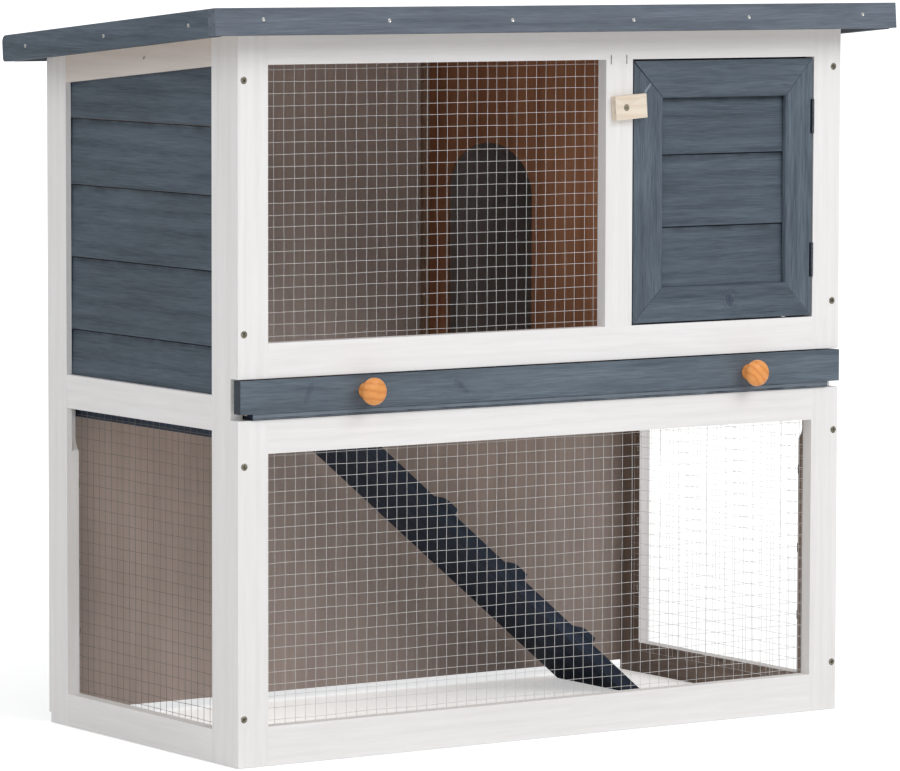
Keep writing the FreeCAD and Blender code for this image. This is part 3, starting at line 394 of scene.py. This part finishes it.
def lathe(profile, places, axis_turns, segments=40):
    """Vertices and faces of one turned shape set down at several places; profile is (radius, height)."""
    verts, faces = [], []
    for centre, turn in zip(places, axis_turns):
        base = len(verts)
        for r, h in profile:
            for k in range(segments):
                a = 2 * math.pi * k / segments
                verts.append(centre + turn @ Vector((r * math.cos(a), r * math.sin(a), h)))
        for i in range(len(profile) - 1):
            for k in range(segments):
                n = (k + 1) % segments
                a, b = base + i * segments, base + (i + 1) * segments
                faces.append((a + k, a + n, b + n, b + k))
        last = base + (len(profile) - 1) * segments
        faces.append(tuple(last + k for k in range(segments)))
        faces.append(tuple(base + k for k in reversed(range(segments))))
    return verts, faces


def mesh_from(name, verts, faces, smooth=True):
    mesh = bpy.data.meshes.new(name)
    mesh.from_pydata([tuple(v) for v in verts], [], faces)
    mesh.update()
    for polygon in mesh.polygons:
        polygon.use_smooth = smooth
    return mesh


def facing(direction):
    """The turn that carries +Z onto a direction."""
    return Vector(direction).to_track_quat("Z", "Y").to_matrix()


TO_FRONT = facing((0, -1, 0))

# ------------------------------------------------------------------ welded mesh
PITCH_ACROSS = 13.0 * MM
PITCH_UP = 12.85 * MM
WIRE_R = 0.25 * MM
SWAY, DIP, LEAN = 0.75 * MM, 0.5 * MM, 0.25      # how far a wire strays; LEAN is in millimetres
rng = random.Random(7)


def wire_places(low, high, pitch):
    count = int((high - low) / pitch)
    first = (low + high - count * pitch) / 2
    return [first + i * pitch for i in range(count + 1)]


def wire_panel(node, across, finish=WIRE, radius=WIRE_R):
    """Round wires, a little wavy, in the two layers of a welded mesh. across is 0 for X panels, 1 for Y."""
    low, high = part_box(node)
    flat = 1 - across
    curve = bpy.data.curves.new(node + "_wires", "CURVE")
    curve.dimensions = "3D"
    curve.bevel_depth = radius
    curve.bevel_resolution = 2
    curve.use_fill_caps = True
    inner = (low[flat] + high[flat]) / 2
    # the level wires lie against the frame, the upright ones inside them
    toward_middle = -1.0 if inner > 0 else 1.0
    layer = {"level": inner - toward_middle * WIRE_R, "upright": inner + toward_middle * WIRE_R}
    spots = {"level": wire_places(low[2], high[2], PITCH_UP),
             "upright": wire_places(low[across], high[across], PITCH_ACROSS)}
    for kind, at_list in spots.items():
        run = (low[across], high[across]) if kind == "level" else (low[2], high[2])
        for index, at in enumerate(at_list):
            count = max(2, int((run[1] - run[0]) / (PITCH_UP / 2)))
            spline = curve.splines.new("POLY")
            spline.points.add(count)
            seed = rng.uniform(0, 100)
            lean = rng.gauss(0, LEAN) * MM
            for i in range(count + 1):
                t = run[0] + (run[1] - run[0]) * i / count
                edge = min(1.0, 18 * min(i, count - i) / count)
                sway = SWAY * noise.noise(Vector((t * 16, seed, index * 0.11))) + lean
                dip = DIP * noise.noise(Vector((t * 11, seed + 40, 0.3))) * edge
                point = [0.0, 0.0, 0.0]
                point[flat] = layer[kind] + toward_middle * max(0.0, dip)
                if kind == "level":
                    point[across], point[2] = t, at + sway * edge
                else:
                    point[across], point[2] = at + sway * edge, t
                spline.points[i].co = (*point, 1.0)
    obj = new_object(node + "_wires", curve, "body", finish)
    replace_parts(obj, node)


wire_panel("front_upper_mesh", 0)
wire_panel("front_lower_mesh", 0)
# left mesh wires darkened as painted shade, right mesh wires lightened as painted light
wire_panel("left_mesh", 1, SHADED_WIRE)
wire_panel("right_mesh", 1, LIT_WIRE, 0.8 * WIRE_R)

# ------------------------------------------------------------------ knobs
KNOB_RADIUS = 14.8 * MM
KNOB = [(0.1, 0.0), (8.9, 0.0), (8.1, 1.2), (7.35, 3.2), (7.3, 5.6), (8.1, 7.6), (9.8, 9.2), (12.0, 10.8),
        (13.7, 12.6), (14.6, 14.8), (14.8, 17.2), (14.2, 19.6), (12.6, 21.9), (10.2, 23.7), (7.2, 24.7),
        (4.2, 25.0), (0.5, 25.0)]
drawer_front_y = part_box("drawer_front")[0][1]
knob_low, knob_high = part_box("drawer_knobs")
knob_x = (knob_low[0] + KNOB_RADIUS, knob_high[0] - KNOB_RADIUS)
knob_z = (knob_high[2] - KNOB_RADIUS, knob_low[2] + KNOB_RADIUS)      # the left one sits a little higher
beech = wood("knob_beech", "y", rgb(246, 172, 100), rgb(216, 130, 62), contrast=0.5, rings=260.0,
             rough=(0.28, 0.42), bump=0.1, cloud=0.06)
verts, faces = lathe([(r * MM, h * MM) for r, h in KNOB],
                     [Vector((x, drawer_front_y, z)) for x, z in zip(knob_x, knob_z)],
                     [TO_FRONT] * 2, 56)
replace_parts(new_object("turned_knobs", mesh_from("turned_knobs", verts, faces), "drawer", beech),
            "drawer_knobs")


# ------------------------------------------------------------------ screw and nail heads
CROSS_TURN = 0.4        # radians the cross is turned within each head


def angle_apart(a, b):
    return abs((a - b + math.pi) % (2 * math.pi) - math.pi)


def screw_mesh(name, places, turns, radius, recess):
    """Countersunk heads with a cross recess, standing 0.3 mm proud of the timber.

    recess is (reach of an arm, half its width)."""
    verts, faces = [], []
    n = 32
    arm, half = recess
    cross = []
    for quarter in range(4):
        a = quarter * math.pi / 2 + CROSS_TURN
        c, s = math.cos(a), math.sin(a)
        for x, y in ((half, -half), (arm, -half), (arm, half)):
            cross.append((x * c - y * s, x * s + y * c))
    for centre, turn in zip(places, turns):
        base = len(verts)

        def ring(points, h):
            start = len(verts)
            for x, y in points:
                verts.append(centre + turn @ Vector((x, y, h)))
            return start

        circle = [(math.cos(2 * math.pi * k / n), math.sin(2 * math.pi * k / n)) for k in range(n)]
        low = ring([(x * radius * 0.5, y * radius * 0.5) for x, y in circle], -1.6 * MM)
        rim = ring([(x * radius, y * radius) for x, y in circle], 0.05 * MM)
        lip = ring([(x * radius * 0.88, y * radius * 0.88) for x, y in circle], 0.25 * MM)
        top = ring(cross, 0.3 * MM)
        floor = ring([(x * 0.6, y * 0.6) for x, y in cross], -1.4 * MM)
        for a, b in ((low, rim), (rim, lip)):
            faces.extend((a + k, a + (k + 1) % n, b + (k + 1) % n, b + k) for k in range(n))
        m = len(cross)
        angles = [math.atan2(y, x) % (2 * math.pi) for x, y in cross]
        order = sorted(range(m), key=lambda i: angles[i])
        near = [min(order, key=lambda i: angle_apart(angles[i], 2 * math.pi * k / n)) for k in range(n)]
        for k in range(n):
            nk = (k + 1) % n
            if near[k] == near[nk]:
                faces.append((lip + k, lip + nk, top + near[k]))
            else:
                steps = [near[k]]
                while steps[-1] != near[nk]:
                    steps.append(order[(order.index(steps[-1]) + 1) % m])
                faces.append((lip + k, lip + nk, *[top + i for i in reversed(steps)]))
        faces.extend((top + order[i], top + order[(i + 1) % m], floor + order[(i + 1) % m], floor + order[i])
                     for i in range(m))
        faces.append(tuple(floor + i for i in order))
    return mesh_from(name, verts, faces, smooth=False)


left_x, front_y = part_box("upper_front_stiles")[0][:2]
FRAME_SCREWS = ((7.5, 727.5), (7.5, 460.5), (789.8, 732.0), (790.5, 467.0),
                (7.8, 320.5), (7.2, 52.0), (794.0, 320.0), (794.5, 54.0))
screws = screw_mesh("cross_head_screws",
                    [Vector((left_x + x * MM, front_y, z * MM)) for x, z in FRAME_SCREWS],
                    [TO_FRONT @ Matrix.Rotation(0.7 * i, 3, "Z") for i in range(len(FRAME_SCREWS))],
                    4.0 * MM, (2.3 * MM, 0.55 * MM))
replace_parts(new_object("cross_head_screws", screws, "body", STEEL), "frame_screws")

low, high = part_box("turn_button_screw")
button_screw_at = Vector(((low[0] + high[0]) / 2, low[1] + 0.2 * MM, (low[2] + high[2]) / 2))
brass = metal("dull_brass", rgb(190, 182, 160), rgb(140, 130, 108), (0.35, 0.5))
screw = screw_mesh("button_screw_head", [button_screw_at], [TO_FRONT], 3.4 * MM, (2.0 * MM, 0.45 * MM))
new_object("button_screw_head", screw, "body", brass)

RING_NAIL = [(0.2, -1.0), (2.25, -1.0), (2.3, 0.0), (2.1, 0.45), (1.75, 0.55), (1.4, 0.4), (1.1, 0.15),
             (0.1, 0.1)]
ROOF_PITCH_DEG = 4.7
FASCIA_HEIGHT = 28.4 * MM
FASCIA_NAILS = ((9.0, 12.3), (166.0, 14.9), (324.0, 15.5), (484.5, 16.7), (642.0, 14.9), (802.0, 13.0))
EDGE_NAILS = (18.0, 193.0, 363.0)
BACK_NAILS = (-0.3375, -0.1125, 0.1125, 0.3375)
EDGE_NAIL_DROP, BACK_NAIL_DROP = 14.5 * MM, 7 * MM
roof_low, roof_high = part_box("roof_front_board")
lean = math.radians(ROOF_PITCH_DEG)
tip = Matrix.Rotation(-lean, 3, "X")
eaves = Vector((0, roof_low[1] + FASCIA_HEIGHT * math.sin(lean), roof_high[2]))
spots, turns = [], []
for x, down in FASCIA_NAILS:
    spots.append(eaves + tip @ Vector((left_x + x * MM, 0, -down * MM)))
    turns.append(tip @ TO_FRONT)
for y in EDGE_NAILS:
    u = (front_y + y * MM - eaves.y) / math.cos(lean)
    for sign in (-1, 1):
        spots.append(eaves + tip @ Vector((sign * roof_high[0], u, -EDGE_NAIL_DROP)))
        turns.append(tip @ facing((sign, 0, 0)))
length = (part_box("roof_back_board")[1][1] - eaves.y) / math.cos(lean)
for x in BACK_NAILS:
    spots.append(eaves + tip @ Vector((x, length, -BACK_NAIL_DROP)))
    turns.append(tip @ facing((0, 1, 0)))
for sign in (-1, 1):        # one nail high in each side wall
    spots.append(Vector((-sign * left_x, front_y + 191 * MM, 747 * MM)))
    turns.append(facing((sign, 0, 0)))
verts, faces = lathe([(r * MM, h * MM) for r, h in RING_NAIL], spots, turns, 24)
bright = metal("bright_nail", rgb(214, 214, 212), rgb(170, 170, 168), (0.2, 0.35))
nails = mesh_from("ring_nail_heads", verts, faces)
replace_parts(new_object("ring_nail_heads", nails, "body", bright), "roof_edge_nails")

# ------------------------------------------------------------------ floor, light and camera
GROUND = -0.0005
FLOOR_TURN_DEG = -34        # square to the front camera
WORLD_STRENGTH = 0.46


def studio_floor():
    """A pale sheet that runs back and sweeps up behind the object."""
    verts, faces = [], []
    xs = (-14.0, 14.0)
    profile = [(-9.0, GROUND), (7.0, GROUND)]
    profile += [(7.0 + 3 * math.sin(a), GROUND + 3 - 3 * math.cos(a))
                for a in [math.pi / 2 * i / 16 for i in range(1, 17)]]
    profile.append((10.0, 9.0))
    for y, z in profile:
        for x in xs:
            verts.append((x, y, z))
    for i in range(len(profile) - 1):
        faces.append((2 * i, 2 * i + 1, 2 * i + 3, 2 * i + 2))
    tree = Tree("pale_floor")
    coords = tree.add("ShaderNodeTexCoord", output=3)
    speck = tree.noise(coords, 60.0, 3.0)
    tree.put(tree.shader.inputs["Base Color"], tree.mix(speck, (0.93, 0.93, 0.93, 1), (0.97, 0.97, 0.97, 1)))
    tree.shader.inputs["Roughness"].default_value = 0.9
    tree.shader.inputs["Specular IOR Level"].default_value = 0.1
    tree.shader.inputs["Emission Color"].default_value = (1, 1, 1, 1)
    # the sheet looks evenly white, but throws only a little light up at the object
    seen = tree.add("ShaderNodeLightPath", output=0)
    away = tree.step(tree.vector("LENGTH", coords).node.outputs[1], 0.9, 3.0, 0.42, 0.75)
    tree.put(tree.shader.inputs["Emission Strength"], tree.math("MULTIPLY", seen, away))
    obj = bpy.data.objects.new("studio_floor", mesh_from("studio_floor", verts, faces))
    obj.data.materials.append(tree.material)
    bpy.context.scene.collection.objects.link(obj)
    obj.rotation_euler = (0, 0, math.radians(FLOOR_TURN_DEG))


def area_light(name, location, target, size, watts, colour=(1, 1, 1)):
    data = bpy.data.lights.new(name, "AREA")
    data.shape = "RECTANGLE"
    data.size, data.size_y = size
    data.energy = watts
    data.color = colour
    obj = bpy.data.objects.new(name, data)
    obj.location = location
    obj.rotation_euler = (Vector(target) - Vector(location)).to_track_quat("-Z", "Y").to_euler()
    bpy.context.scene.collection.objects.link(obj)


studio_floor()
centre = (0, 0, 0.4)
area_light("key", (1.2, -3.8, 3.3), centre, (3.0, 2.4), 90)
area_light("fill", (-3.8, -1.8, 2.9), centre, (2.5, 2.5), 46)
area_light("top", (0, 0.2, 4.2), centre, (4.0, 4.0), 29)
world = bpy.data.worlds.new("studio")
world.use_nodes = True
world.node_tree.nodes["Background"].inputs[0].default_value = (1, 1, 1, 1)
world.node_tree.nodes["Background"].inputs[1].default_value = WORLD_STRENGTH
bpy.context.scene.world = world
bpy.context.scene.view_settings.view_transform = "Standard"

YAW, PITCH_DOWN, ROLL = (math.radians(a) for a in (34.001, 4.979, 0.142))
CAMERA_AT = (-3.3295, -4.9297, 0.893)
LENS_MM = 212.71
forward = Vector((math.sin(YAW) * math.cos(PITCH_DOWN), math.cos(YAW) * math.cos(PITCH_DOWN),
                  -math.sin(PITCH_DOWN)))
right = Vector((math.cos(YAW), -math.sin(YAW), 0))
up = right.cross(forward)
level_right = right * math.cos(ROLL) + up * math.sin(ROLL)
level_up = up * math.cos(ROLL) - right * math.sin(ROLL)
camera = bpy.data.objects.new("camera", bpy.data.cameras.new("camera"))
camera.data.lens = LENS_MM
camera.data.sensor_width = 36.0
camera.data.clip_end = 60.0
turn = Matrix((level_right, level_up, -forward)).transposed()
camera.matrix_world = Matrix.Translation(CAMERA_AT) @ turn.to_4x4()
bpy.context.scene.collection.objects.link(camera)
bpy.context.scene.camera = camera

bpy.context.view_layer.update()
